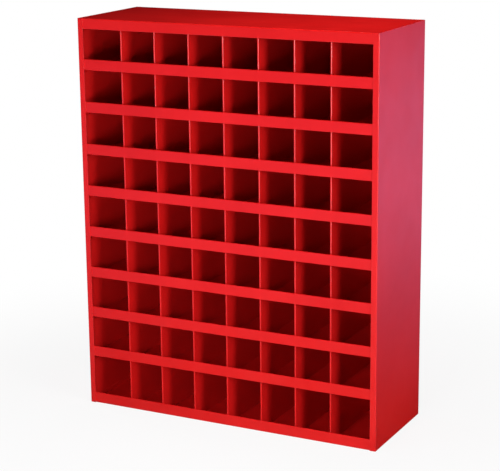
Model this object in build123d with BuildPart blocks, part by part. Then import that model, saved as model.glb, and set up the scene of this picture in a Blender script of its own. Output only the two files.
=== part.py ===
# Pigeonhole bin cabinet: a steel case, hemmed shelves and dividers tabbed into the shelves.
# The origin is on the floor under the middle of the case, with the open front towards -Y.
import os

from build123d import *

# Case
CASE_WIDTH = 857.0
CASE_DEPTH = 305.0
CASE_HEIGHT = 1067.0

# Sheet thicknesses
SHELL_GAUGE = 1.2
BACK_GAUGE = 0.9
SHELF_GAUGE = 0.9
DIVIDER_GAUGE = 0.9

# Inside radii of the bends
SHELL_BEND = 1.5
SHELF_BEND = 1.0

# Folded edges
SIDE_FLANGE = 16.0
HEADER_HEIGHT = 28.0
BOTTOM_LIP = 30.0
SHELF_LIP = 29.0
WELD_FLANGE = 12.0
CORNER_RELIEF = 2.0
HEM_GAP = 2.2
HEM_DEPTH = 8.0

# Bin layout: an even grid, with more room in the rows and columns at the ends
ROWS = 9
COLUMNS = 8
END_ROW_EXTRA = 22.75
END_COLUMN_EXTRA = 28.5

# Divider tabs: one below, near the front, and one above, near the back
TAB_LENGTH = 20.0
TAB_SPACING = 180.0

# Clearances
SLOT_FIT = 0.2
BEND_FIT = 0.2
DIVIDER_FIT = 0.3
DIVIDER_SETBACK = 2.0

# Faces that the pieces meet at
inside_half = CASE_WIDTH / 2 - SHELL_GAUGE
lip_face = SHELL_GAUGE - CASE_DEPTH / 2
back_face = CASE_DEPTH / 2 - SHELL_GAUGE - BACK_GAUGE
thickest_pan = max(SHELL_GAUGE, SHELF_GAUGE)
widest_bend = max(SHELL_BEND, SHELF_BEND)
divider_front = lip_face + 2 * thickest_pan + HEM_GAP + DIVIDER_SETBACK
divider_rear = back_face - thickest_pan - DIVIDER_FIT
divider_middle = (divider_front + divider_rear) / 2

# Pitches of the grid, and the underside of each shelf from the lowest up
column_pitch = (CASE_WIDTH - 2 * END_COLUMN_EXTRA) / COLUMNS
row_pitch = (CASE_HEIGHT - 2 * END_ROW_EXTRA) / ROWS
shelf_levels = [END_ROW_EXTRA + row_pitch * number for number in range(1, ROWS)]


def finish(part, name):
    part.label = name
    export_step(part, f"parts/{name}.step")


# A tray bent from one blank: a deck, a hemmed front leg, and flanges at the back and both ends.
# A positive leg or flange turns up from the deck, a negative one turns down.
def bent_pan(gauge, bend, underside, front_leg, flange):
    middle = underside + gauge / 2
    bend_line = bend + gauge / 2
    fold = (HEM_GAP + gauge) / 2
    leg_turn = 1 if front_leg > 0 else -1
    flange_turn = 1 if flange > 0 else -1
    front = lip_face + gauge / 2
    rear = back_face - gauge / 2
    end = inside_half - gauge / 2
    leg_tip = middle + front_leg - leg_turn * gauge / 2
    hem_line = front + 2 * fold
    nose_level = leg_tip - leg_turn * (fold + gauge / 2)
    flange_tip = middle + flange - flange_turn * gauge / 2
    deck_half = inside_half - max(gauge + bend + CORNER_RELIEF, SHELL_BEND + BEND_FIT)
    end_start = lip_face + gauge + bend + CORNER_RELIEF
    end_stop = back_face - gauge - bend - CORNER_RELIEF

    with BuildPart() as pan:
        with BuildSketch(Plane.YZ):
            with BuildLine():
                hem = Line((hem_line, leg_tip - leg_turn * HEM_DEPTH), (hem_line, nose_level))
                nose = JernArc(hem @ 1, hem % 1, fold, leg_turn * 180)
                leg = Line(nose @ 1, (front, middle + leg_turn * bend_line))
                front_bend = JernArc(leg @ 1, leg % 1, bend_line, leg_turn * 90)
                deck = Line(front_bend @ 1, (rear - bend_line, middle))
                rear_bend = JernArc(deck @ 1, deck % 1, bend_line, flange_turn * 90)
                Line(rear_bend @ 1, (rear, flange_tip))
            trace(line_width=gauge)
        extrude(amount=deck_half, both=True)

        # End flanges, which stop short of the corners
        with BuildSketch(Plane.XZ.offset(-end_start)):
            with BuildLine():
                deck_end = Line((deck_half - CORNER_RELIEF, middle), (end - bend_line, middle))
                end_bend = JernArc(deck_end @ 1, deck_end % 1, bend_line, flange_turn * 90)
                Line(end_bend @ 1, (end, flange_tip))
            trace(line_width=gauge)
            mirror(about=Plane.YZ)
        extrude(amount=end_start - end_stop)
    return pan.part


# One divider at X = 0: a plate with a hemmed front edge, folded towards -X, and tabs for the shelves.
# The fold has flat facets, as there are many dividers.
def tabbed_divider(bottom, top, lower_tab, upper_tab):
    right = DIVIDER_GAUGE / 2
    left = right - 2 * DIVIDER_GAUGE - HEM_GAP
    facet = 0.3 * (right - left)

    with BuildPart() as divider:
        with BuildSketch(Plane.XY.offset(bottom)):
            with BuildLine():
                Polyline(
                    (right, divider_rear),
                    (right, divider_front + facet),
                    (right - facet, divider_front),
                    (left + facet, divider_front),
                    (left, divider_front + facet),
                    (left, divider_front + HEM_DEPTH),
                )
                offset(amount=DIVIDER_GAUGE, side=Side.RIGHT, kind=Kind.INTERSECTION)
            make_face()
        extrude(amount=top - bottom - DIVIDER_FIT)

        # The rear corners are clipped to pass the bends at the back of the decks
        rear_corners = divider.edges().filter_by(Axis.X).group_by(Axis.Y)[-1]
        chamfer(rear_corners, length=widest_bend)

        with BuildSketch(Plane.YZ):
            if lower_tab:
                with Locations((divider_middle - TAB_SPACING / 2, bottom)):
                    Rectangle(TAB_LENGTH, 2 * SHELF_GAUGE)
            if upper_tab:
                with Locations((divider_middle + TAB_SPACING / 2, top)):
                    Rectangle(TAB_LENGTH, 2 * SHELF_GAUGE)
        extrude(amount=DIVIDER_GAUGE / 2, both=True)
    return divider.part


os.makedirs("parts", exist_ok=True)

# Side panels: channels whose flanges return across the front and the back
for hand, side in (("left", -1), ("right", 1)):
    web = side * (CASE_WIDTH / 2 - SHELL_GAUGE / 2)
    flange_edge = side * (CASE_WIDTH / 2 - SIDE_FLANGE)
    flange_line = CASE_DEPTH / 2 - SHELL_GAUGE / 2
    with BuildPart() as side_panel:
        with BuildSketch():
            with BuildLine():
                FilletPolyline(
                    (flange_edge, -flange_line),
                    (web, -flange_line),
                    (web, flange_line),
                    (flange_edge, flange_line),
                    radius=SHELL_BEND + SHELL_GAUGE / 2,
                )
            trace(line_width=SHELL_GAUGE)
        extrude(amount=CASE_HEIGHT)
    finish(side_panel.part, f"{hand}_side_panel")

# Back panel: a flat sheet against the rear flanges of the side panels
with BuildPart() as back_panel:
    with BuildSketch(Plane.XZ.offset(-back_face)):
        with Locations((0, CASE_HEIGHT / 2)):
            Rectangle(2 * (inside_half - SHELL_BEND - BEND_FIT), CASE_HEIGHT)
    extrude(amount=-BACK_GAUGE)
finish(back_panel.part, "back_panel")

# Top and bottom panels
with BuildPart() as top_panel:
    add(bent_pan(SHELL_GAUGE, SHELL_BEND, CASE_HEIGHT - SHELL_GAUGE, -HEADER_HEIGHT, -WELD_FLANGE))
finish(top_panel.part, "top_panel")
with BuildPart() as bottom_panel:
    add(bent_pan(SHELL_GAUGE, SHELL_BEND, 0, BOTTOM_LIP, WELD_FLANGE))
finish(bottom_panel.part, "bottom_panel")

# Shelves, with two slots at each divider: the front one for the row above, the rear one for the row below
for number, level in enumerate(shelf_levels, start=1):
    with BuildPart() as shelf:
        add(bent_pan(SHELF_GAUGE, SHELF_BEND, level, SHELF_LIP, -WELD_FLANGE))
        with BuildSketch(Plane.XY.offset(level)):
            with Locations((0, divider_middle)):
                with GridLocations(column_pitch, TAB_SPACING, COLUMNS - 1, 2):
                    Rectangle(DIVIDER_GAUGE + 2 * SLOT_FIT, TAB_LENGTH + 2 * SLOT_FIT)
        extrude(amount=SHELF_GAUGE, mode=Mode.SUBTRACT)
    finish(shelf.part, f"shelf_{number}")

# Dividers, row by row from the lowest up
floors = [SHELL_GAUGE] + [level + SHELF_GAUGE for level in shelf_levels]
ceilings = shelf_levels + [CASE_HEIGHT - SHELL_GAUGE]
for number, (floor, ceiling) in enumerate(zip(floors, ceilings), start=1):
    divider = tabbed_divider(floor, ceiling, lower_tab=number > 1, upper_tab=number < ROWS)
    with BuildPart() as divider_row:
        with GridLocations(column_pitch, 0, COLUMNS - 1, 1):
            add(divider)
    finish(divider_row.part, f"divider_row_{number}")
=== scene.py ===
# Steel pigeonhole cabinet in red enamel, standing on a white studio floor
import math

import bpy
from mathutils import Matrix, Vector

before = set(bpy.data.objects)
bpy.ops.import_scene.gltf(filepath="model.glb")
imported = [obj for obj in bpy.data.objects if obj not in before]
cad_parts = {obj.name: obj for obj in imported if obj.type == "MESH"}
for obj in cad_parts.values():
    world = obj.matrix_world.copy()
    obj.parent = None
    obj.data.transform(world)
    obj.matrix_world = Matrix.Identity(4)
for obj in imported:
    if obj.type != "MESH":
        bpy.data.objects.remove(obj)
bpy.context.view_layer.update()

scene = bpy.context.scene
scene.view_settings.view_transform = "Standard"
print("cabinet loaded:", len(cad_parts), "nodes")


def linear(hexColour):  # sRGB hex to linear RGBA
    channels = [int(hexColour[i:i + 2], 16) / 255 for i in (1, 3, 5)]
    return [c / 12.92 if c <= 0.04045 else ((c + 0.055) / 1.055) ** 2.4 for c in channels] + [1.0]


def metres(millimetres):
    return millimetres / 1000


def perMetre(millimetres):  # texture scale that gives features of this size
    return 1000.0 / millimetres


def addNode(tree, kind, settings=None, **inputs):  # a tuple links an output, the rest are values
    node = tree.nodes.new(kind)
    for name, value in (settings or {}).items():
        setattr(node, name, value)
    for name, value in inputs.items():
        byNumber = name.startswith("in") and name[2:].isdigit()
        key = int(name[2:]) if byNumber else name.replace("_", " ")
        if isinstance(value, tuple):
            tree.links.new(value[0].outputs[value[1]], node.inputs[key])
        else:
            node.inputs[key].default_value = value
    return node


# Camera, matched to the corners of the case
cameraSetup = {
    "azimuth": 27.19,  # degrees to the right of straight on
    "elevation": 14.28,
    "roll": -0.59,
    "distance": 4.21,  # metres from the target
    "target": (-0.0016, -0.0025, 0.4889),
    "lens": 113.2,  # mm, on a 36 mm sensor
    "farthest": 200.0,  # metres, past the end of the floor
}


def placeCamera(setup):
    turn, rise, roll = (math.radians(setup[angle]) for angle in ("azimuth", "elevation", "roll"))
    ahead = math.cos(rise)
    back = Vector((math.sin(turn) * ahead, -math.cos(turn) * ahead, math.sin(rise)))
    right = Vector((0, 0, 1)).cross(back).normalized()
    up = back.cross(right)
    tiltedRight = right * math.cos(roll) + up * math.sin(roll)
    tiltedUp = up * math.cos(roll) - right * math.sin(roll)
    place = Matrix.Translation(Vector(setup["target"]) + back * setup["distance"])
    camera = bpy.data.objects.new("camera", bpy.data.cameras.new("camera"))
    camera.data.lens = setup["lens"]
    camera.data.clip_end = setup["farthest"]
    camera.matrix_world = place @ Matrix((tiltedRight, tiltedUp, back)).transposed().to_4x4()
    scene.collection.objects.link(camera)
    scene.camera = camera


placeCamera(cameraSetup)
print("camera placed")


# Gloss baked enamel on cold-rolled steel: dipped and stoved, so an even strong red with a wet
# shine, a faint orange peel, slow waves where the thin sheet isn't quite flat, and paint that
# pulls thin over the folded edges, lightened there by a painted highlight. All lengths are in
# millimetres
enamelSetup = {
    "finishes": {  # the seed gives each its own clouds and smudges
        # each edge colour is thin paint lightened further as a painted highlight, most on the
        # dividers
        "case": {
            "red": "#D01818", "deep": "#C61414", "thinAndHighlight": "#DA3A3A",
            "roughness": (0.28, 0.33), "seed": 0.0,
        },
        "shelves": {
            "red": "#D01818", "deep": "#C61414", "thinAndHighlight": "#DE4040",
            "roughness": (0.20, 0.27), "seed": 3.1,
        },
        "dividers": {
            "red": "#D01818", "deep": "#C61414", "thinAndHighlight": "#E85454",
            "roughness": (0.22, 0.27), "seed": 7.7,
        },
        "back": {
            "red": "#CE1717", "deep": "#C71515", "thinAndHighlight": "#DA3A3A",
            "roughness": (0.28, 0.33), "seed": 5.3,
        },
    },
    "ior": 1.5,
    "patterns": {  # size and noise detail
        "cloud": (260.0, 3.0),  # slow drift of the colour
        "smudge": (70.0, 3.0),  # where hands and cloths dull the shine
        "orangePeel": (5.0, 1.0),  # really about 2.5, drawn coarser to show
        "wave": (220.0, 1.0),  # oil-canning of the sheet
    },
    "noiseSpan": (0.35, 0.65),  # most of a noise lies between these
    "peelDepth": 0.005,
    "waveDepth": 0.25,
    "edgeRadius": 0.8,  # how far the paint rounds a folded edge
    "edgeSamples": 4,
    "edgeTurn": (0.98, 0.75),  # cosine of the rounding, from full paint to thin paint with a painted highlight
    "thinAndHighlightShare": 0.6,  # of the thin-paint and painted-highlight colour, at most
    "welds": {  # where the electrodes pressed the back on; start and pitch go across and up
        "case": {
            "start": (420.5, 53.5), "pitch": (841.0, 96.0),
            "behind": 152.0, "middle": 533.5, "reach": 500.0,
        },
        "back": {
            "start": (50.0, 17.65), "pitch": (100.0, 113.5),
            "behind": 151.0, "middle": 533.5, "reach": 480.0,
        },
    },
    # two radii and a depth; a mark is really about 6 across and 0.2 deep, drawn larger to show
    "weldMark": {"flat": 2.5, "rim": 7.0, "depth": 1.8},
}


def pressWelds(tree, place, skin, marks, size):  # dents in the painted skin, on the rear face only
    half = [metres(marks["pitch"][0]) / 2, 1.0, metres(marks["pitch"][1]) / 2]
    sheet = addNode(tree, "ShaderNodeVectorMath", {"operation": "MULTIPLY"},
                    in0=(place, "Object"), in1=[1, 0, 1])
    moved = addNode(tree, "ShaderNodeVectorMath", {"operation": "SUBTRACT"},
                    in0=(sheet, 0), in1=[metres(marks["start"][0]), 0, metres(marks["start"][1])])
    tiled = addNode(tree, "ShaderNodeVectorMath", {"operation": "WRAP"},
                    in0=(moved, 0), in1=half, in2=[-side for side in half])
    away = addNode(tree, "ShaderNodeVectorMath", {"operation": "LENGTH"}, in0=(tiled, 0))
    pressed = addNode(tree, "ShaderNodeMapRange", {"interpolation_type": "SMOOTHSTEP"},
                      Value=(away, "Value"), From_Min=metres(size["flat"]),
                      From_Max=metres(size["rim"]), To_Min=1.0, To_Max=0.0)
    axes = addNode(tree, "ShaderNodeSeparateXYZ", Vector=(place, "Object"))
    outside = addNode(tree, "ShaderNodeMath", {"operation": "GREATER_THAN"},
                      in0=(axes, "Y"), in1=metres(marks["behind"]))
    level = addNode(tree, "ShaderNodeMath", {"operation": "COMPARE"}, in0=(axes, "Z"),
                    in1=metres(marks["middle"]), in2=metres(marks["reach"]))
    rear = addNode(tree, "ShaderNodeMath", {"operation": "MULTIPLY"},
                   in0=(outside, 0), in1=(level, 0))
    weld = addNode(tree, "ShaderNodeMath", {"operation": "MULTIPLY"},
                   in0=(pressed, 0), in1=(rear, 0))
    return addNode(tree, "ShaderNodeBump", {"invert": True}, Height=(weld, 0), Strength=1.0,
                   Distance=metres(size["depth"]), Normal=(skin, 0))


def makeEnamel(part, setup):
    look = setup["finishes"][part]
    material = bpy.data.materials.new("red_enamel_" + part)
    material.use_nodes = True
    tree = material.node_tree
    tree.nodes.clear()
    place = addNode(tree, "ShaderNodeTexCoord")
    spot = addNode(tree, "ShaderNodeVectorMath", {"operation": "ADD"},
                   in0=(place, "Object"), in1=[look["seed"]] * 3)
    noise = {
        pattern: addNode(tree, "ShaderNodeTexNoise", Vector=(spot, 0), Scale=perMetre(size),
                         Detail=detail)
        for pattern, (size, detail) in setup["patterns"].items()
    }
    rounded = addNode(tree, "ShaderNodeBevel", {"samples": setup["edgeSamples"]},
                      Radius=metres(setup["edgeRadius"]))
    waves = addNode(tree, "ShaderNodeBump", Height=(noise["wave"], 0), Strength=1.0,
                    Distance=metres(setup["waveDepth"]), Normal=(rounded, 0))
    skin = addNode(tree, "ShaderNodeBump", Height=(noise["orangePeel"], 0), Strength=1.0,
                   Distance=metres(setup["peelDepth"]), Normal=(waves, 0))
    if part in setup["welds"]:
        skin = pressWelds(tree, place, skin, setup["welds"][part], setup["weldMark"])
    # where the rounded normal leaves the flat one, the paint is thin and lightened by a painted
    # highlight
    flat = addNode(tree, "ShaderNodeNewGeometry")
    turned = addNode(tree, "ShaderNodeVectorMath", {"operation": "DOT_PRODUCT"},
                     in0=(rounded, 0), in1=(flat, "Normal"))
    fullAt, thinAndHighlightAt = setup["edgeTurn"]
    thinAndHighlight = addNode(tree, "ShaderNodeMapRange", Value=(turned, "Value"), From_Min=fullAt,
                   From_Max=thinAndHighlightAt, To_Min=0.0, To_Max=setup["thinAndHighlightShare"])
    low, high = setup["noiseSpan"]
    drift = addNode(tree, "ShaderNodeMapRange", Value=(noise["cloud"], 0), From_Min=low,
                    From_Max=high)
    body = addNode(tree, "ShaderNodeMix", {"data_type": "RGBA"}, in0=(drift, 0),
                   in6=linear(look["deep"]), in7=linear(look["red"]))
    paint = addNode(tree, "ShaderNodeMix", {"data_type": "RGBA"}, in0=(thinAndHighlight, 0),
                    in6=(body, 2), in7=linear(look["thinAndHighlight"]))
    shiny, dulled = look["roughness"]
    dull = addNode(tree, "ShaderNodeMapRange", Value=(noise["smudge"], 0), From_Min=low,
                   From_Max=high, To_Min=shiny, To_Max=dulled)
    shader = addNode(tree, "ShaderNodeBsdfPrincipled", Base_Color=(paint, 2),
                     Roughness=(dull, 0), Metallic=0.0, IOR=setup["ior"], Normal=(skin, 0))
    addNode(tree, "ShaderNodeOutputMaterial", Surface=(shader, 0))
    return material


def finishOf(name):
    if name.startswith("shelf"):
        return "shelves"
    if name.startswith("divider"):
        return "dividers"
    return "back" if name == "back_panel" else "case"


enamels = {part: makeEnamel(part, enamelSetup) for part in enamelSetup["finishes"]}
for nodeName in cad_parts:
    for slot in bpy.data.objects[nodeName].material_slots:
        slot.material = enamels[finishOf(nodeName)]
print("enamel on", len(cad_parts), "nodes")


# Floor: a white paper sweep, matt. The camera sees it white with the cabinet's shadow at its foot,
# and the gloss sees a glowing painted reflection of it: painted shade close by, pinkish white
# further out, brighter towards the key lamp. Distances are in metres
floorSetup = {
    "size": 120.0,
    "paper": "#E6E6E6",
    "white": "#FFFFFF",
    "whiteShare": (0.88, 1.0),  # how much of its own white the camera sees, near and away
    "shadowReach": (0.6, 1.6),
    # painted reflection: the gloss sees the paper glow dark close to the cabinet as painted shade,
    # pinkish white further out
    "mirroredNear": "#141414",
    "mirroredFar": "#F3BCFF",
    "mirroredReach": (0.5, 3.0),  # where the painted reflection brightens out of the painted shade
    "paperEnd": (8.5, 11.0),  # where the paper ends and the dark studio starts
    "keySide": (-2.0, 1.5),  # across, a painted pool of light, brighter towards the key lamp
    "offSide": 0.45,  # painted pool brightness on the other side
}


def makeFloor(setup):
    half = setup["size"] / 2
    corners = [(-half, -half, 0), (half, -half, 0), (half, half, 0), (-half, half, 0)]
    mesh = bpy.data.meshes.new("floor")
    mesh.from_pydata(corners, [], [(0, 1, 2, 3)])
    floor = bpy.data.objects.new("floor", mesh)
    scene.collection.objects.link(floor)
    material = bpy.data.materials.new("white_paper_sweep")
    material.use_nodes = True
    tree = material.node_tree
    tree.nodes.clear()
    ray = addNode(tree, "ShaderNodeLightPath")
    spot = addNode(tree, "ShaderNodeNewGeometry")
    away = addNode(tree, "ShaderNodeVectorMath", {"operation": "LENGTH"}, in0=(spot, "Position"))
    white = addNode(tree, "ShaderNodeMapRange", {"interpolation_type": "SMOOTHSTEP"},
                    Value=(away, "Value"), From_Min=setup["shadowReach"][0],
                    From_Max=setup["shadowReach"][1], To_Min=setup["whiteShare"][0],
                    To_Max=setup["whiteShare"][1])
    seen = addNode(tree, "ShaderNodeMath", {"operation": "MULTIPLY"},
                   in0=(ray, "Is Camera Ray"), in1=(white, 0))
    paper = addNode(tree, "ShaderNodeBsdfDiffuse", Color=linear(setup["paper"]))
    glow = addNode(tree, "ShaderNodeEmission", Color=linear(setup["white"]), Strength=1.0)
    lit = addNode(tree, "ShaderNodeMixShader", in0=(seen, 0), in1=(paper, 0), in2=(glow, 0))
    # painted reflection: the glow the gloss sees instead of the paper, painted shade near, painted
    # light further out
    across = addNode(tree, "ShaderNodeSeparateXYZ", Vector=(spot, "Position"))
    rise = addNode(tree, "ShaderNodeMapRange", Value=(away, "Value"),
                   From_Min=setup["mirroredReach"][0], From_Max=setup["mirroredReach"][1])
    end = addNode(tree, "ShaderNodeMapRange", Value=(away, "Value"),
                  From_Min=setup["paperEnd"][0], From_Max=setup["paperEnd"][1],
                  To_Min=1.0, To_Max=0.0)
    # painted pool of light, brighter towards the key lamp
    paintedPool = addNode(tree, "ShaderNodeMapRange", Value=(across, "X"),
                     From_Min=setup["keySide"][0], From_Max=setup["keySide"][1],
                     To_Min=setup["offSide"], To_Max=1.0)
    band = addNode(tree, "ShaderNodeMath", {"operation": "MULTIPLY"}, in0=(rise, 0), in1=(end, 0))
    far = addNode(tree, "ShaderNodeMath", {"operation": "MULTIPLY"},
                  in0=(band, 0), in1=(paintedPool, 0))
    paintedReflectionColour = addNode(tree, "ShaderNodeMix", {"data_type": "RGBA"}, in0=(far, 0),
                    in6=linear(setup["mirroredNear"]), in7=linear(setup["mirroredFar"]))
    mirror = addNode(tree, "ShaderNodeEmission", Color=(paintedReflectionColour, 2), Strength=1.0)
    gloss = addNode(tree, "ShaderNodeMath", {"operation": "MAXIMUM"},
                    in0=(ray, "Is Glossy Ray"), in1=(ray, "Is Transmission Ray"))
    shown = addNode(tree, "ShaderNodeMixShader", in0=(gloss, 0), in1=(lit, 0), in2=(mirror, 0))
    addNode(tree, "ShaderNodeOutputMaterial", Surface=(shown, 0))
    mesh.materials.append(material)


makeFloor(floorSetup)
print("floor laid")


# Studio: dim air for bounced light, white behind the cabinet, and a dark ceiling for the gloss
worldSetup = {
    "air": "#FFFFFF",
    "airStrength": 0.02,
    "white": "#FFFFFF",
    "ceiling": "#0A0A0A",
    "horizon": (-0.02, 0.0),  # height on a unit sphere where white gives way to ceiling
}


def makeWorld(setup):
    world = bpy.data.worlds.new("studio")
    scene.world = world
    world.use_nodes = True
    tree = world.node_tree
    tree.nodes.clear()
    ray = addNode(tree, "ShaderNodeLightPath")
    way = addNode(tree, "ShaderNodeTexCoord")
    axes = addNode(tree, "ShaderNodeSeparateXYZ", Vector=(way, "Generated"))
    height = addNode(tree, "ShaderNodeMapRange", Value=(axes, "Z"),
                     From_Min=setup["horizon"][0], From_Max=setup["horizon"][1])
    gloss = addNode(tree, "ShaderNodeMix", {"data_type": "RGBA"}, in0=(height, 0),
                    in6=linear(setup["white"]), in7=linear(setup["ceiling"]))
    mirrored = addNode(tree, "ShaderNodeMath", {"operation": "MAXIMUM"},
                       in0=(ray, "Is Glossy Ray"), in1=(ray, "Is Transmission Ray"))
    dim = [c * setup["airStrength"] for c in linear(setup["air"])[:3]] + [1.0]
    bounced = addNode(tree, "ShaderNodeMix", {"data_type": "RGBA"}, in0=(mirrored, 0),
                      in6=dim, in7=(gloss, 2))
    seen = addNode(tree, "ShaderNodeMix", {"data_type": "RGBA"}, in0=(ray, "Is Camera Ray"),
                   in6=(bounced, 2), in7=linear(setup["white"]))
    sky = addNode(tree, "ShaderNodeBackground", Color=(seen, 2), Strength=1.0)
    addNode(tree, "ShaderNodeOutputWorld", Surface=(sky, 0))


makeWorld(worldSetup)
print("studio air made")


# Lamps, in metres. One that shows as light leaves no hot spot in the gloss, and one that shows as
# gloss is only a reflection
lamps = {
    "key": {  # far off at the right
        "place": (4.98, -2.22, 1.32), "aim": (0, 0, 0.55), "size": (1.5, 1.5),
        "watts": 145.0, "shows": "both",
    },
    "keyTop": {  # lifts the upper part of the right side
        "place": (1.8, -0.7, 1.7), "aim": (0.43, 0, 0.8), "size": (0.5, 0.5),
        "watts": 8.0, "shows": "light",
    },
    "front": {  # reaches into the bins
        "place": (0.35, -1.9, 0.7), "aim": (0, 0, 0.55), "size": (0.5, 0.5),
        "watts": 25.0, "shows": "light",
    },
    "left": {  # wide fill
        "place": (-2.08, -2.97, 2.24), "aim": (0, 0, 0.55), "size": (2.0, 1.5),
        "watts": 22.0, "shows": "light",
    },
    "overhead": {  # over the top, nearer its right end
        "place": (0.3, -0.1, 1.9), "aim": (0.3, -0.1, 1.0), "size": (0.4, 0.4),
        "watts": 10.5, "shows": "light",
    },
    "corner": {  # strip that draws a line down the bend at the right front corner
        "place": (1.9, -0.75, 0.5), "aim": (0.43, -0.15, 0.5), "size": (0.35, 1.0),
        "watts": 7.0, "shows": "gloss",
    },
    "leftSide": {  # this one and the next light the sides turned away from the camera
        "place": (-3.2, 0.7, 0.55), "aim": (-0.43, 0, 0.5), "size": (1.2, 0.8),
        "watts": 52.0, "shows": "light",
    },
    "back": {
        "place": (-0.5, 3.4, 0.55), "aim": (0, 0.15, 0.5), "size": (1.2, 0.8),
        "watts": 62.0, "shows": "light",
    },
}


def hangLamp(name, setup):
    light = bpy.data.lights.new(name, "AREA")
    light.shape = "RECTANGLE"
    light.size, light.size_y = setup["size"]
    light.energy = setup["watts"]
    lamp = bpy.data.objects.new(name, light)
    lamp.location = setup["place"]
    away = Vector(setup["place"]) - Vector(setup["aim"])
    lamp.rotation_euler = away.to_track_quat("Z", "Y").to_euler()
    lamp.visible_camera = False  # some hang in the view from other sides
    lamp.visible_glossy = setup["shows"] != "light"
    lamp.visible_diffuse = setup["shows"] != "gloss"
    scene.collection.objects.link(lamp)


for lampName, lampSetup in lamps.items():
    hangLamp(lampName, lampSetup)
print("lamps hung:", ", ".join(lamps))
